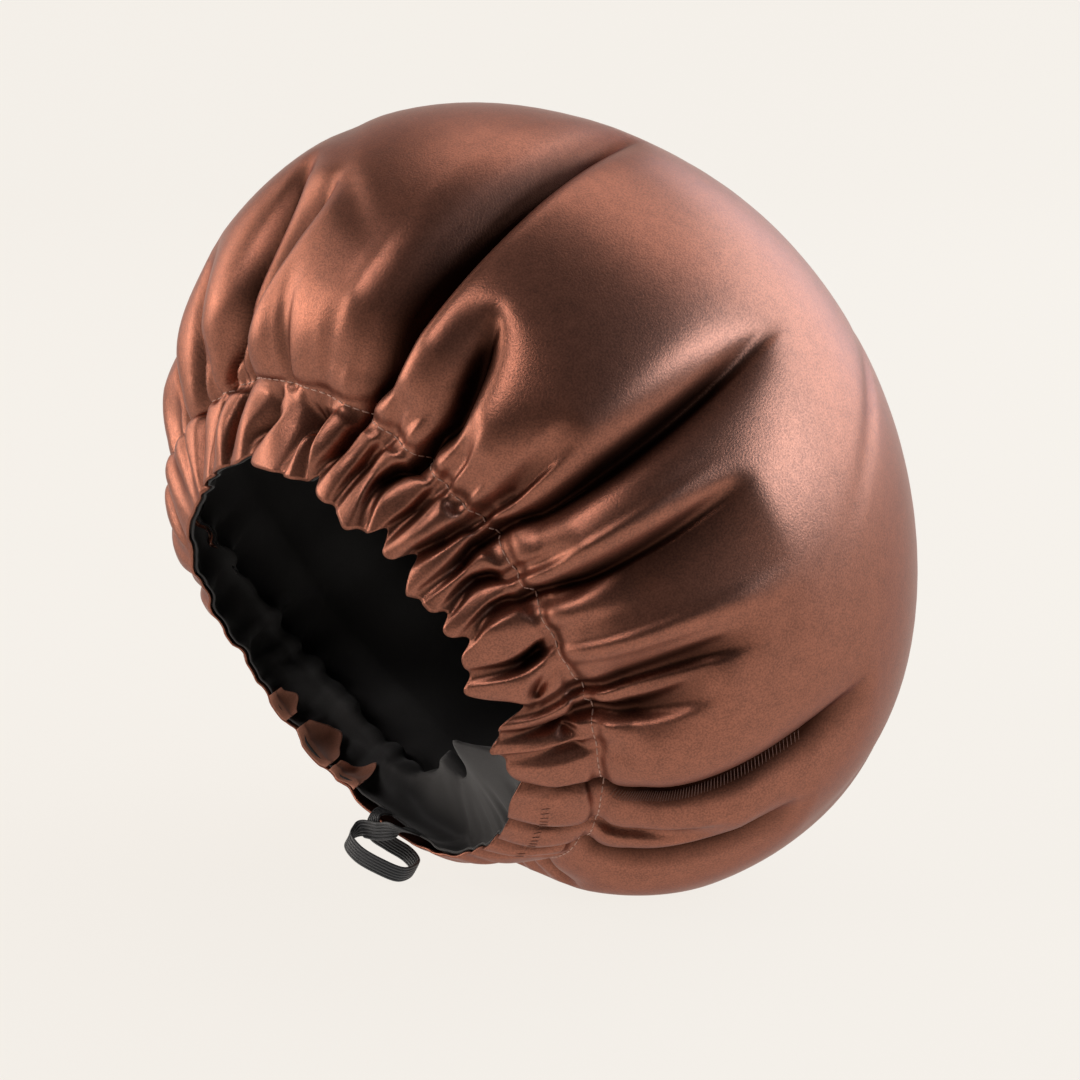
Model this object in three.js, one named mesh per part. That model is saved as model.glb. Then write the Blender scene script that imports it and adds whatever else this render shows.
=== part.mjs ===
// Sleep bonnet in two layers of satin, lying on its belly with the mouth towards -Y.
// Millimetres, +Z up. The origin is the middle of the flat patch it rests on.
import * as THREE from "three";

// Overall sizes
const OPENING_RADIUS = 83;
const STITCH_RADIUS = 103;
const STITCH_ALONG = 22;
const CROWN_RADIUS = 150;
const CROWN_ALONG = 98;
const CROWN_CAP = 118;
const CROWN_KNEE = 0.42;
const AXIS_TILT_DEG = 26;
const OPENING_CENTRE = [0, -108, 91.5];

// Cloth sizes
const OUTER_WALL = 1.8;
const LINING_WALL = 1.4;
const LAYER_GAP = 1.4;
const LINING_SHRINK = 9;
const LINING_SHRINK_TOP = 2.5;
const FRILL_PUFF = 3.5;
const GROOVE_DEPTH = 2.0;
const EDGE_SCALLOP = 4.5;
const SEAT_SOFTNESS = 4;
const LEAST_FOLD_WIDTH = 3.4;

// Elastic sizes
const BAND_WIDTH = 7;
const BAND_THICK = 1.4;
const BAND_STEPS = 56;
const BAND_EXIT_DEG = -106;
const BAND_EXIT_SPAN = 16;
const BAND_EXIT_GAP = 2.6;

// Grid of the cloth
const COLUMNS = 144;
const NEAR_SIDE_DEG = 30;
const COLUMN_CROWDING = 19;

// Fullness of the crown and frill, one row per swell
const SWELLS = [
  // angle_deg, span_deg, station, reach, lift_mm
  [100, 34, 0.36, 0.26, 8.5],
  [135, 26, 0.15, 0.16, 4.0],
  [148, 22, -0.15, 0.30, 8.0],
  [165, 26, -0.40, 0.70, 13.0],
  [222, 30, -1.00, 0.60, 4.0],
  [-88, 25, -1.00, 0.65, 4.0],
  [60, 40, 0.75, 0.25, 3.0],
  [-20, 30, 0.60, 0.20, -2.5],
];

// Folds that run up the crown from the stitch line, one row per valley
const CROWN_FOLDS = [
  // at_deg, tip_deg, bow_deg, reach, depth_mm, width_mm, lean
  [-62.0, -34.0, -4.0, 0.26, 6.0, 6.0, 0.3],
  [-41.0, -44.0, 0.0, 0.08, 5.0, 5.0, 0.0],
  [-29.0, -20.0, -1.0, 0.36, 7.0, 4.0, 0.2],
  [-16.0, -14.0, 0.0, 0.12, 2.0, 4.0, 0.0],
  [-7.5, -5.0, -0.5, 0.21, 6.0, 3.5, 0.0],
  [-1.5, -5.0, 2.0, 0.28, 5.0, 3.2, 0.0],
  [7.5, 3.4, 0.8, 0.38, 8.5, 4.5, -0.5],
  [9.5, 9.5, 0.0, 0.44, 4.0, 8.0, 0.0],
  [16.3, 16.0, 0.0, 0.12, 4.0, 3.0, 0.0],
  [18.6, 17.4, -0.4, 0.40, 4.5, 3.2, 0.3],
  [23.5, 20.0, 0.6, 0.36, 7.5, 3.5, -0.5],
  [24.8, 24.0, 0.0, 0.46, 4.0, 6.5, 0.0],
  [32.8, 31.2, -1.6, 0.54, 8.5, 3.2, 0.2],
  [36.8, 36.0, 0.2, 0.26, 7.5, 3.2, 0.0],
  [45.4, 47.0, -0.6, 0.17, 3.5, 3.2, 0.0],
  [52.0, 55.0, -1.2, 0.29, 8.5, 3.2, 0.2],
  [58.5, 57.0, -0.8, 0.20, 3.0, 5.0, -0.4],
  [67.8, 66.5, -1.8, 0.62, 9.5, 4.0, -0.4],
  [76.0, 74.0, 0.0, 0.20, 2.5, 5.0, 0.0],
  [87.0, 86.5, 0.0, 0.22, 2.0, 3.0, 0.0],
  [104.0, 91.0, -1.5, 0.30, 7.5, 4.0, -0.5],
  [115.0, 101.0, -4.0, 0.38, 6.0, 4.0, 0.0],
  [128.0, 119.0, -2.0, 0.28, 6.0, 5.0, 0.0],
];

// Folds that run down the frill from the stitch line to the edge, one row per valley
const FRILL_FOLDS = [
  // at_deg, edge_deg, depth_mm, width_mm
  [-62.0, -66.0, 5.0, 4.0],
  [-50.0, -55.0, 4.5, 4.0],
  [-37.0, -42.0, 4.0, 4.0],
  [-27.5, -27.5, 6.0, 3.2],
  [-18.0, -16.5, 5.0, 3.2],
  [-10.5, -9.0, 6.0, 3.2],
  [-3.0, -3.0, 5.0, 3.6],
  [9.5, 9.5, 6.0, 2.8],
  [17.6, 17.0, 6.0, 3.0],
  [23.8, 24.3, 7.0, 2.8],
  [31.5, 31.5, 7.0, 2.8],
  [37.5, 39.5, 7.0, 2.8],
  [46.3, 47.0, 5.0, 2.8],
  [51.8, 52.5, 7.5, 3.0],
  [60.0, 62.0, 4.5, 2.8],
  [68.5, 71.5, 7.5, 3.4],
  [76.0, 75.5, 5.5, 3.4],
  [82.5, 82.5, 4.0, 2.8],
  [91.0, 97.0, 4.5, 3.2],
  [103.0, 108.0, 5.5, 3.4],
  [113.0, 120.0, 5.5, 3.4],
  [124.0, 130.0, 5.0, 3.4],
];

// Even gathers of the side away from the charted folds
const FAR_FIRST_DEG = 138;
const FAR_LAST_DEG = 286;
const FAR_FOLDS = 20;
const FAR_DEPTH = 5;
const FAR_WIDTH = 4.2;
const FAR_REACH = 0.2;
const SEAT_DEG = 270;
const SEAT_SPAN_DEG = 42;
const SEAT_REACH = 0.1;

// Route of the elastic outside the casing, one row per point
const BAND_ROUTE = [
  // x_mm, y_mm, z_mm
  [-29.8, -69.3, 19.4],
  [-27.9, -75.1, 22.8],
  [-26.4, -80.8, 22.0],
  [-25.6, -81.0, 16.6],
  [-24.6, -75.6, 11.4],
  [-19.5, -71.0, 7.4],
  [-12.0, -72.4, 4.8],
  [-8.2, -81.4, 4.6],
  [-13.9, -87.9, 7.8],
  [-22.3, -91.6, 11.4],
  [-29.2, -90.4, 14.6],
  [-28.6, -86.0, 17.6],
  [-20.3, -83.4, 18.4],
  [-12.9, -79.4, 20.0],
  [-11.3, -73.5, 18.8],
  [-12.0, -67.5, 15.0],
];
const BAND_HANG_LAY = [0.445, 0.187, 0.875];
const BAND_FLAT_LAY = [0.96, 0.12, -0.25];
const BAND_TWIST_SHARE = 0.14;

const DEG = Math.PI / 180;

// Angle difference brought between -180 and 180 degrees.
function turn(angle) {
  return ((angle + 540) % 360 + 360) % 360 - 180;
}

// Step from 0 to 1 with level ends.
function ease(x) {
  const c = Math.min(1, Math.max(0, x));
  return c * c * (3 - 2 * c);
}

// Rounded sharp notch, 1 in the middle and fading to both sides.
function notch(x) {
  return Math.exp(0.35 - Math.sqrt(x * x + 0.1225));
}

// A fixed scatter between -1 and 1 for the plain gathers.
function scatter(n) {
  const v = Math.sin(n * 12.9898 + 4.1) * 43.7585;
  return 2 * (v - Math.floor(v)) - 1;
}

// Plain gathers of the far side, in the same columns as the charted folds.
function farFolds() {
  const rows = [];
  const pitch = (FAR_LAST_DEG - FAR_FIRST_DEG) / FAR_FOLDS;
  for (let i = 0; i <= FAR_FOLDS; i += 1) {
    const at = FAR_FIRST_DEG + pitch * (i + 0.25 * scatter(i));
    const seat = Math.exp(-Math.pow((at - SEAT_DEG) / SEAT_SPAN_DEG, 4));
    const free = FAR_REACH * (1.5 + scatter(i + 40));
    const reach = seat * SEAT_REACH + (1 - seat) * free;
    const depth = FAR_DEPTH * (1 + 0.3 * scatter(i + 80));
    rows.push({ at, reach, depth, drift: 3 * scatter(i + 120) });
  }
  return rows;
}

const crownRows = CROWN_FOLDS.map(([at, tip, bow, reach, depth, width, lean]) => (
  { at, tip, bow, reach, depth, width: Math.max(width, LEAST_FOLD_WIDTH), lean }
));
const frillRows = FRILL_FOLDS.map(([at, edge, depth, width]) => (
  { at, edge, depth, width: Math.max(width, LEAST_FOLD_WIDTH) }
));
for (const far of farFolds()) {
  crownRows.push({
    at: far.at, tip: far.at + far.drift, bow: 0, reach: far.reach,
    depth: far.depth, width: FAR_WIDTH, lean: 0,
  });
  frillRows.push({
    at: far.at, edge: far.at + far.drift, depth: far.depth, width: FAR_WIDTH * 0.85,
  });
}

// Section of the plain bonnet. Station -1 is the edge, 0 the stitch line, 1 the crown point.
function section(station) {
  if (station < 0) {
    const run = Math.hypot(STITCH_RADIUS - OPENING_RADIUS, STITCH_ALONG);
    const ur = (STITCH_RADIUS - OPENING_RADIUS) / run;
    const uw = STITCH_ALONG / run;
    const puff = FRILL_PUFF * Math.sin(-station * Math.PI);
    const left = 1 + station;
    return [
      OPENING_RADIUS + ur * run * left + uw * puff,
      uw * run * left - ur * puff,
    ];
  }
  if (station < CROWN_KNEE) {
    const bend = station / CROWN_KNEE * Math.PI / 2;
    return [
      STITCH_RADIUS + (CROWN_RADIUS - STITCH_RADIUS) * Math.sin(bend),
      CROWN_ALONG - (CROWN_ALONG - STITCH_ALONG) * Math.cos(bend),
    ];
  }
  const bend = (station - CROWN_KNEE) / (1 - CROWN_KNEE) * Math.PI / 2;
  return [
    CROWN_RADIUS * Math.cos(bend),
    CROWN_ALONG + CROWN_CAP * Math.sin(bend),
  ];
}

// Outward direction of the section at a station, as radial and along parts.
function sectionNormal(station) {
  if (station > 0.999) {
    return [0, 1];
  }
  const here = section(station);
  const on = section(Math.min(1, station + 0.01));
  const back = section(Math.max(-1, station - 0.03));
  let tr = 0;
  let tw = 0;
  for (const [a, b] of [[back, here], [here, on]]) {
    const length = Math.hypot(b[0] - a[0], b[1] - a[1]);
    if (length > 1e-9) {
      tr += (b[0] - a[0]) / length;
      tw += (b[1] - a[1]) / length;
    }
  }
  const length = Math.hypot(tr, tw);
  return [tw / length, -tr / length];
}

// Swells of the whole shape at an angle and station.
function fullness(angle, station) {
  let lift = 0;
  for (const [at, span, where, reach, height] of SWELLS) {
    const a = turn(angle - at) / span;
    const b = (station - where) / reach;
    lift += height * Math.exp(-a * a - b * b);
  }
  const crownPoint = station > 0.8 ? 1 - ease((station - 0.8) / 0.2) : 1;
  return lift * crownPoint;
}

// Depth of the crown folds below the plain shape.
function crownFolds(angle, station) {
  const radius = Math.max(20, section(station)[0]);
  let depth = 0;
  for (const f of crownRows) {
    if (station >= f.reach) {
      continue;
    }
    const t = station / f.reach;
    const path = f.at + (f.tip - f.at) * t + f.bow * 4 * t * (1 - t);
    const offset = turn(angle - path) * DEG * radius;
    const side = offset > 0 ? 1 + f.lean : 1 - f.lean;
    const rise = 0.6 + 0.4 * Math.min(1, station / 0.075);
    depth += f.depth * rise * (1 - t * t * t) * notch(offset * side / f.width);
  }
  return Math.min(depth, LINING_SHRINK);
}

// Depth of the frill folds below the plain shape.
function frillFolds(angle, station) {
  const q = -station;
  const radius = section(station)[0];
  let depth = 0;
  for (const f of frillRows) {
    const path = f.at + (f.edge - f.at) * q;
    const offset = turn(angle - path) * DEG * radius;
    const rise = 0.6 + 0.4 * Math.min(1, q / 0.55);
    depth += f.depth * rise * notch(offset / f.width);
  }
  return Math.min(depth, LINING_SHRINK);
}

// Share of the gap the elastic leaves through, 1 in its middle.
function bandExit(angle) {
  const a = turn(angle - BAND_EXIT_DEG) / BAND_EXIT_SPAN;
  return Math.exp(-a * a * a * a);
}

// Depth of all folds, meeting smoothly across the stitch line.
function foldDepth(angle, station) {
  const share = ease((station + 0.12) / 0.14);
  const crown = share > 0 ? crownFolds(angle, Math.max(0, station)) : 0;
  const frill = share < 1 ? frillFolds(angle, Math.min(0, station)) : 0;
  const near = station < 0 ? station * 8 : station / 0.03;
  const groove = GROOVE_DEPTH * Math.exp(-near * near);
  const flat = 1 - 0.9 * bandExit(angle) * (1 - ease((station + 0.2) / 0.3));
  return (share * crown + (1 - share) * frill) * flat + groove;
}

// Height kept above a level, rounded where the cloth meets it.
function seated(z, level) {
  const above = z - level;
  if (above <= -SEAT_SOFTNESS) {
    return level;
  }
  if (above >= SEAT_SOFTNESS) {
    return z;
  }
  return level + (above + SEAT_SOFTNESS) ** 2 / (4 * SEAT_SOFTNESS);
}

// How far the lining stands off at the gap the elastic leaves through.
function bandGap(angle, station) {
  return BAND_EXIT_GAP * bandExit(angle) * (1 - ease((station + 0.5) / 0.4));
}

// A point of the cloth, at a depth below the satin face. The lining lets go of the folds.
function clothPoint(angle, station, inset, isLining) {
  const [r0, w0] = section(station);
  const [nr, nw] = sectionNormal(station);
  const fold = foldDepth(angle, station);
  let depth = fold;
  let below = inset;
  if (isLining) {
    const loose = ease((station - 0.03) / 0.16);
    const slack = ease((station - 0.15) / 0.55);
    const shrink = LINING_SHRINK * (1 - slack) + LINING_SHRINK_TOP * slack;
    depth = fold * (1 - loose) + shrink * loose;
    below += bandGap(angle, station);
  }
  const height = fullness(angle, station) - depth - below;
  const scallop = station < 0 ? EDGE_SCALLOP * (0.5 - fold / LINING_SHRINK) : 0;
  const pull = scallop * station * station;
  const run = Math.hypot(STITCH_RADIUS - OPENING_RADIUS, STITCH_ALONG);
  const r = r0 + nr * height - pull * (STITCH_RADIUS - OPENING_RADIUS) / run;
  const w = w0 + nw * height - pull * STITCH_ALONG / run;
  const a = angle * DEG;
  const tilt = AXIS_TILT_DEG * DEG;
  const x = r * Math.cos(a);
  const v = r * Math.sin(a);
  const y = -v * Math.sin(tilt) + w * Math.cos(tilt);
  const z = v * Math.cos(tilt) + w * Math.sin(tilt);
  const [cx, cy, cz] = OPENING_CENTRE;
  return [x + cx, y + cy, seated(z + cz, inset)];
}

// Column angles, closer together on the side with the charted folds.
function columnAngle(index, count) {
  const u = index / count - 0.5;
  return NEAR_SIDE_DEG + 360 * u + COLUMN_CROWDING * Math.sin(2 * Math.PI * u) * -1;
}

// One skin as rings of points from the edge to the crown point.
function skinRings(stations, inset, isLining) {
  return stations.map(([station, share]) => {
    const count = COLUMNS / share;
    const ring = [];
    for (let i = 0; i < count; i += 1) {
      ring.push(clothPoint(columnAngle(i * share, COLUMNS), station, inset, isLining));
    }
    return ring;
  });
}

// Triangles between two rings, the second with as many or half as many points.
function joinRings(faces, lower, upper, lowerCount, upperCount) {
  if (lowerCount === upperCount) {
    for (let i = 0; i < lowerCount; i += 1) {
      const j = (i + 1) % lowerCount;
      faces.push([lower + i, upper + i, upper + j]);
      faces.push([lower + i, upper + j, lower + j]);
    }
    return;
  }
  for (let i = 0; i < upperCount; i += 1) {
    const j = (i + 1) % upperCount;
    const a = lower + 2 * i;
    const b = lower + 2 * i + 1;
    const c = lower + (2 * i + 2) % lowerCount;
    faces.push([a, upper + i, b]);
    faces.push([b, upper + i, upper + j]);
    faces.push([b, upper + j, c]);
  }
}

// Closed cloth bag from an outside and an inside skin joined round the edge.
function clothBag(stations, outside, inside, isLining) {
  const points = [];
  const faces = [];
  const edges = [];
  for (const [inset, flip] of [[outside, false], [inside, true]]) {
    const rings = skinRings(stations, inset, isLining);
    const own = [];
    let start = points.length;
    const first = start;
    rings.forEach((ring, k) => {
      ring.forEach((p) => points.push(p));
      if (k > 0) {
        const before = rings[k - 1].length;
        joinRings(own, start - before, start, before, ring.length);
      }
      start += ring.length;
    });
    const last = rings[rings.length - 1];
    const lastStart = points.length - last.length;
    const tip = points.length;
    points.push(clothPoint(0, 1, inset, isLining));
    for (let i = 0; i < last.length; i += 1) {
      own.push([lastStart + i, tip, lastStart + (i + 1) % last.length]);
    }
    own.forEach(([a, b, c]) => faces.push(flip ? [a, c, b] : [a, b, c]));
    edges.push(first);
  }
  const [outer, inner] = edges;
  for (let i = 0; i < COLUMNS; i += 1) {
    const j = (i + 1) % COLUMNS;
    faces.push([outer + i, outer + j, inner + j]);
    faces.push([outer + i, inner + j, inner + i]);
  }
  return closedGeometry(points, faces);
}

// Indexed geometry of a closed solid, turned so that its volume is positive.
function closedGeometry(points, faces) {
  let volume = 0;
  for (const [a, b, c] of faces) {
    const p = new THREE.Vector3(...points[a]);
    const q = new THREE.Vector3(...points[b]);
    const r = new THREE.Vector3(...points[c]);
    volume += p.dot(q.cross(r));
  }
  const index = [];
  for (const [a, b, c] of faces) {
    index.push(...(volume > 0 ? [a, b, c] : [a, c, b]));
  }
  const geometry = new THREE.BufferGeometry();
  const flat = new Float32Array(points.flat());
  geometry.setAttribute("position", new THREE.BufferAttribute(flat, 3));
  geometry.setIndex(index);
  geometry.computeVertexNormals();
  return geometry;
}

// Flat band swept along the route, lying flat in the casing and on edge where it hangs.
function elasticBand() {
  const route = BAND_ROUTE.map(([x, y, z]) => new THREE.Vector3(x, y, z));
  const curve = new THREE.CatmullRomCurve3(route, false, "centripetal");
  const hanging = new THREE.Vector3(...BAND_HANG_LAY).normalize();
  const lying = new THREE.Vector3(...BAND_FLAT_LAY).normalize();
  const points = [];
  const faces = [];
  for (let i = 0; i <= BAND_STEPS; i += 1) {
    const p = curve.getPointAt(i / BAND_STEPS);
    const along = curve.getTangentAt(i / BAND_STEPS);
    const fromEnd = Math.min(i, BAND_STEPS - i) / BAND_STEPS;
    const hang = ease(fromEnd / BAND_TWIST_SHARE - 0.3);
    const lay = lying.clone().lerp(hanging, hang);
    const thick = new THREE.Vector3().crossVectors(along, lay).normalize();
    const wide = new THREE.Vector3().crossVectors(thick, along).normalize();
    for (const [a, b] of [[-1, -1], [1, -1], [1, 1], [-1, 1]]) {
      const corner = p.clone();
      corner.addScaledVector(wide, a * BAND_WIDTH / 2);
      corner.addScaledVector(thick, b * BAND_THICK / 2);
      points.push([corner.x, corner.y, corner.z]);
    }
  }
  for (let i = 0; i < BAND_STEPS; i += 1) {
    for (let k = 0; k < 4; k += 1) {
      const a = 4 * i + k;
      const b = 4 * i + (k + 1) % 4;
      faces.push([a, b, b + 4]);
      faces.push([a, b + 4, a + 4]);
    }
  }
  const end = 4 * BAND_STEPS;
  faces.push([0, 2, 1], [0, 3, 2]);
  faces.push([end, end + 1, end + 2], [end, end + 2, end + 3]);
  return closedGeometry(points, faces);
}

// Stations of each cloth bag with the share of columns used there
const OUTER_STATIONS = [
  [-1, 1], [-0.8, 1], [-0.55, 1], [-0.27, 1], [0, 1], [0.03, 1], [0.075, 1], [0.13, 1],
  [0.19, 1], [0.26, 2], [0.34, 2], [0.42, 2], [0.5, 2], [0.6, 4], [0.71, 4], [0.83, 4],
  [0.93, 4],
];
const LINING_STATIONS = [
  [-1, 1], [-0.8, 1], [-0.55, 1], [0, 1], [0.075, 1], [0.19, 1], [0.34, 2], [0.5, 2],
  [0.71, 4], [0.9, 4],
];

// A named solid with its own finish.
function piece(name, geometry, color, roughness) {
  const material = new THREE.MeshStandardMaterial({ color, roughness, metalness: 0 });
  material.name = name;
  const mesh = new THREE.Mesh(geometry, material);
  mesh.name = name;
  return mesh;
}

const liningInset = OUTER_WALL + LAYER_GAP;
const outer = clothBag(OUTER_STATIONS, 0, OUTER_WALL, false);
const lining = clothBag(LINING_STATIONS, liningInset, liningInset + LINING_WALL, true);

const bonnet = new THREE.Group();
bonnet.name = "sleep_bonnet";
bonnet.add(piece("outer_shell", outer, 0x9c6350, 0.4));
bonnet.add(piece("lining", lining, 0x1c1b1c, 0.6));
bonnet.add(piece("elastic_loop", elasticBand(), 0x151516, 0.8));

export default bonnet;
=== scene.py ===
"""Sleep bonnet of copper satin with a black lining, lying on its belly on a pale floor."""

import logging
from dataclasses import dataclass, field
from enum import Enum
from typing import NamedTuple

import bpy
import numpy as np
from mathutils import Matrix, Vector


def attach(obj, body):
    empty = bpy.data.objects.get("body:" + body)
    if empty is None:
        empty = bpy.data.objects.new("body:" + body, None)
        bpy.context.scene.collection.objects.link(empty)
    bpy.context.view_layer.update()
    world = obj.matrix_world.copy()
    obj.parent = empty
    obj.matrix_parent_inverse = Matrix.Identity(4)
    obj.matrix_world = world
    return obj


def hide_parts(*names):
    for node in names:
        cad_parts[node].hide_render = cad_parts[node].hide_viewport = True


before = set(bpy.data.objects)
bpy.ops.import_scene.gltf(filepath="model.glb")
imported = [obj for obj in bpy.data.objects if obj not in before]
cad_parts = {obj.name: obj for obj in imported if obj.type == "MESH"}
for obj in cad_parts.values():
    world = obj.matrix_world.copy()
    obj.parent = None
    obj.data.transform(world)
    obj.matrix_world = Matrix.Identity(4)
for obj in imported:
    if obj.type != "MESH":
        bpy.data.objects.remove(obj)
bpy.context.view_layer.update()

MM = 0.001
# Name of the point attribute that carries the share of painted shade in each crease.
CREASE_SHADE = "crease"
GAP_WIDENING = 1.6
LOG = logging.getLogger("bonnet")

Array = np.ndarray
Span = tuple[float, float]
Triple = tuple[float, float, float]
Inputs = dict[str | int, float | tuple[float, ...]]


class Layer(Enum):
    """Which cloth layer a surface belongs to."""

    SATIN = "satin"
    LINING = "lining"


class Swell(NamedTuple):
    """A broad fullness of the cloth; stations run from -1 at the edge to 1 at the crown point."""

    angle_deg: float
    span_deg: float
    station: float
    reach: float
    lift_mm: float


class CrownFold(NamedTuple):
    """A valley that runs up the crown from the stitch line."""

    at_deg: float
    tip_deg: float
    bow_deg: float
    reach: float
    depth_mm: float
    width_mm: float
    lean: float


class FrillFold(NamedTuple):
    """A valley that runs down the frill from the stitch line to the edge."""

    at_deg: float
    edge_deg: float
    depth_mm: float
    width_mm: float


SWELLS = tuple(
    Swell(*row)
    for row in (
        (100, 34, 0.36, 0.26, 8.5), (135, 26, 0.15, 0.16, 4), (148, 22, -0.15, 0.3, 8),
        (165, 26, -0.4, 0.7, 13), (222, 30, -1, 0.6, 4), (-88, 25, -1, 0.65, 4),
        (60, 40, 0.75, 0.25, 3), (-20, 30, 0.6, 0.2, -2.5),
    )
)

CROWN_FOLDS = tuple(
    CrownFold(*row)
    for row in (
        (-53, -36, -2, 0.36, 11, 4.8, 0.3), (-42, -36, 0, 0.26, 6, 3.6, 0),
        (-29, -20, -1, 0.46, 10, 4, 0.2), (-16, -14, 0, 0.12, 2, 4, 0),
        (-7.5, -5, -0.5, 0.26, 9, 4, 0), (-1.5, -1, 1.5, 0.32, 6, 2.8, 0),
        (6.5, 3.3, 0.8, 0.4, -2, 3.4, 0), (14.3, 14.6, 0, 0.2, -3.5, 4.2, 0),
        (18.6, 17, -0.4, 0.4, 5.8, 6, 0.65), (21.6, 20.2, 0.3, 0.4, -2, 3.4, 0),
        (32.8, 31.2, -1.6, 0.52, 6, 4.4, 0.6), (32.8, 31.2, -1.6, 0.55, 5, 1.9, 0),
        (19.4, 17.8, -0.4, 0.4, 3, 1.7, 0), (24.2, 23.6, 0, 0.16, 2.5, 2.4, 0),
        (41, 41.5, 0, 0.13, 2.5, 2.4, 0), (60, 60, 0, 0.12, 2, 2.4, 0),
        (109.5, 106, 0, 0.15, 3, 2.6, 0), (121, 117, 0, 0.13, 3, 2.8, 0),
        (36.8, 36, 0.2, 0.26, 7.5, 2.8, 0), (45.4, 47, -0.6, 0.17, 3.5, 2.6, 0),
        (52, 55, -1.2, 0.29, 8.5, 2.8, 0.2), (58.5, 57, -0.8, 0.2, 3, 5, -0.4),
        (67.8, 72, -4.5, 0.64, 8, 3.6, -0.4), (67.8, 72, -4.5, 0.64, 5, 1.9, 0),
        (52, 55, -1.2, 0.3, 4, 1.8, 0), (104, 91, -1.5, 0.35, 4, 1.9, 0),
        (115, 101, -4, 0.38, 4, 1.9, 0), (75, 79, -4.5, 0.66, -1.1, 5, 0),
        (76, 74, 0, 0.2, 2.5, 5, 0), (87, 86.5, 0, 0.22, 2, 2.4, 0),
        (94, 93, 0, 0.22, -1.8, 6, 0), (104, 91, -1.5, 0.34, 7.5, 3.4, -0.5),
        (115, 101, -4, 0.38, 6, 3.6, 0), (128, 119, -2, 0.28, 6, 4.4, 0),
    )
)

FRILL_FOLDS = tuple(
    FrillFold(*row)
    for row in (
        (-64, -67, 5, 4), (-53, -56, 5.5, 3.6), (-42, -43, 5, 3.4), (-29, -27.5, 6, 2.8),
        (-16, -16.5, 5, 2.8), (-7.5, -9, 6, 2.8), (-1.5, -3, 5, 3.2), (9.5, 9.5, 6, 2.4),
        (19, 17, 6, 2.4), (24.2, 24.3, 7, 2.4), (32.8, 31.5, 7, 2.4), (36.8, 39.5, 7, 2.4),
        (45.4, 47, 5, 2.4), (52, 52.5, 7.5, 2.6), (60, 62, 4.5, 2.4), (67.8, 71.5, 7.5, 3),
        (76, 75.5, 5.5, 3), (82.5, 82.5, 4, 2.4), (91, 97, 4.5, 2.8), (104, 108, 5.5, 3),
        (115, 120, 5.5, 3), (127, 130, 5, 3),
    )
)


class EdgeNotch(NamedTuple):
    """A place where the frill's edge draws back from the opening, or reaches out if negative."""

    at_deg: float
    span_deg: float
    draw_mm: float


class SatinLip(NamedTuple):
    """A place where the satin turns over the rim and lies on the lining."""

    at_deg: float
    half_span_deg: float
    reach: float


class ClothSwell(NamedTuple):
    """A soft inward fold of cloth, long along its slant over angle and station."""

    angle_deg: float
    station: float
    span_deg: float
    reach: float
    slant: float
    lift_mm: float


EDGE_NOTCHES = tuple(
    EdgeNotch(*row)
    for row in (
        (-26, 4, 4), (-13, 3, -4), (-1.5, 3.2, 11), (6, 2.6, -4), (17, 2.2, 5), (24.5, 1.8, 3.5),
        (33, 2.2, -3), (39, 2.4, 6), (48, 2, 6), (56, 2.6, -2.5), (71, 2.4, 4.5), (97, 3, 3),
    )
)

LINING_SWELLS = tuple(
    ClothSwell(*row)
    for row in (
        (176, -0.3, 5, 0.6, 0, 4), (187, -0.2, 5, 0.7, 0, 5), (197, -0.25, 5, 0.8, 0, -4),
        (208, -0.25, 6, 0.6, 0, 5), (222, 0.1, 9, 0.3, 20, 9), (238, -0.15, 6, 0.35, -12, 6),
        (252, 0.05, 9, 0.24, 30, 14), (268, 0.02, 7, 0.26, -20, 16), (262, 0, 9, 0.28, 20, 18),
        (284, 0, 17, 0.32, -14, 30), (309, -0.1, 18, 0.4, 6, 38), (274, 0, 4, 0.26, 24, -5),
        (298, -0.05, 5, 0.3, -20, 5), (332, -0.2, 9, 0.36, 0, 22), (235, 0.3, 30, 0.16, 60, 14),
        (205, 0.4, 26, 0.12, 90, 20),
    )
)

SATIN_SWELLS = tuple(
    ClothSwell(*row)
    for row in (
        (86, 0.32, 3.5, 0.05, 167, 1.4), (102, 0.43, 4, 0.05, 120, 1),
        (13.5, 0.63, 2, 0.11, 67, 0.9), (79.5, -0.22, 2.4, 0.18, 0, 10),
        (1.5, -0.4, 1.6, 0.2, 10, 5), (-12, -0.2, 1.8, 0.12, 0, 5), (-29, -0.4, 2, 0.25, 6, 5),
        (93, -0.55, 2.4, 0.22, -10, 6), (128, 0.52, 3, 0.14, 30, 1.6),
        (152, 0.55, 3.5, 0.18, -40, 2.2), (176, 0.48, 3, 0.2, 25, 2.4),
        (198, 0.6, 4, 0.16, -30, 2), (221, 0.5, 3.2, 0.2, 45, 2.2),
        (246, 0.58, 4, 0.14, -35, 1.8), (318, 0.56, 3.5, 0.14, 30, 1.4),
        (64, 0.8, 6, 0.09, -60, 0.8), (170, 0.8, 6, 0.1, 70, 1.3), (290, 0.8, 6, 0.1, -70, 1.3),
    )
)

SATIN_LIPS = (
    SatinLip(208.0, 4.0, 0.34),
    SatinLip(222.0, 6.5, 0.60),
    SatinLip(234.0, 4.5, 0.48),
)

BAND_ROUTE_MM = (
    (-29.8, -69.3, 19.4), (-27.9, -75.1, 22.8), (-26.4, -80.8, 22), (-25.6, -81, 16.6),
    (-24.6, -75.6, 11.4), (-19.5, -71, 7.4), (-12, -72.4, 4.8), (-8.2, -81.4, 4.6),
    (-13.9, -87.9, 7.8), (-22.3, -91.6, 11.4), (-29.2, -90.4, 14.6), (-28.6, -86, 17.6),
    (-20.3, -83.4, 18.4), (-12.9, -79.4, 20), (-11.3, -73.5, 18.8), (-12, -67.5, 15),
)

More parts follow.
